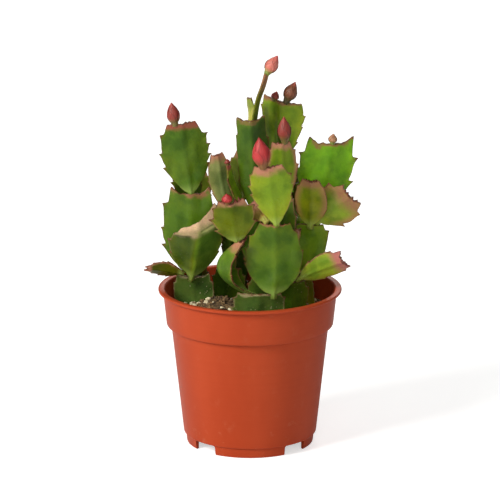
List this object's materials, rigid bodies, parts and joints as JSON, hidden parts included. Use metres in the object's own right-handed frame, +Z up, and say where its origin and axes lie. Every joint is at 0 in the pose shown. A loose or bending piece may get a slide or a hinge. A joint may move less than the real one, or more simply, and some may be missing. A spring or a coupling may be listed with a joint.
{
  "type": "potted christmas cactus",
  "caption": "Holiday cactus of flat toothed stem segments with pink-red buds, planted in peat and perlite in a tapered terracotta-coloured plastic nursery pot with four feet.",
  "frame": {"origin": "on the ground at the pot's axis, under the middle of the feet", "axes": "+Z up along the pot's axis; the plant's front faces -Y, +X is to the right seen from the front"},
  "size_m": [0.1238, 0.105, 0.2241],
  "materials": {
    "pot_plastic": "satin terracotta-coloured moulded polypropylene",
    "potting_soil": "rough dark peat with bark, root fibres and white perlite",
    "green_stem": "waxy mid-green succulent stem with reddish margins",
    "dark_stem": "waxy dark green, older stem",
    "bright_stem": "glossy bright green, young stem",
    "olive_stem": "olive stem with russet margins",
    "lime_stem": "yellow-green young stem with a pink apex",
    "blushed_stem": "olive stem blushed pink-brown by the sun",
    "crimson_bud": "satin crimson closed flower bud",
    "rose_bud": "satin rose and olive closed flower bud"
  },
  "bodies": {
    "root": {"nursery_pot": "pot_plastic", "soil": "potting_soil", "left_base": "dark_stem", "left_broad": "green_stem", "left_crown": "green_stem", "left_folded": "dark_stem", "left_spur": "olive_stem", "middle_base": "dark_stem", "middle_stem": "dark_stem", "middle_pale": "blushed_stem", "front_base": "dark_stem", "front_round": "green_stem", "front_pale": "lime_stem", "front_stub": "blushed_stem", "front_turned": "bright_stem", "front_toothed": "olive_stem", "tall_base": "dark_stem", "tall_stem": "dark_stem", "tall_dark": "dark_stem", "tall_carrier": "dark_stem", "tall_edge": "olive_stem", "tall_sliver": "lime_stem", "tall_fork": "green_stem", "tall_fan": "green_stem", "side_sprig": "olive_stem", "inner_stem": "green_stem", "inner_lime": "lime_stem", "right_base": "dark_stem", "right_low": "lime_stem", "right_edge": "olive_stem", "right_back_base": "olive_stem", "right_stem": "dark_stem", "right_russet": "olive_stem", "right_wing": "blushed_stem", "right_crown": "bright_stem", "back_left_stem": "green_stem", "back_left_crown": "green_stem", "back_stem": "green_stem", "back_crown": "olive_stem", "back_middle_stem": "dark_stem", "back_middle_crown": "green_stem", "back_right_stem": "green_stem", "back_right_crown": "olive_stem", "back_left_fork": "olive_stem", "back_middle_fork": "lime_stem", "back_right_fork": "bright_stem", "bud_left": "crimson_bud", "bud_front": "crimson_bud", "bud_inner": "crimson_bud", "bud_top": "crimson_bud", "bud_fan_small": "crimson_bud", "bud_fan": "rose_bud", "bud_right": "rose_bud", "bud_toothed": "crimson_bud", "bud_sprig": "crimson_bud"}
  },
  "joints": []
}
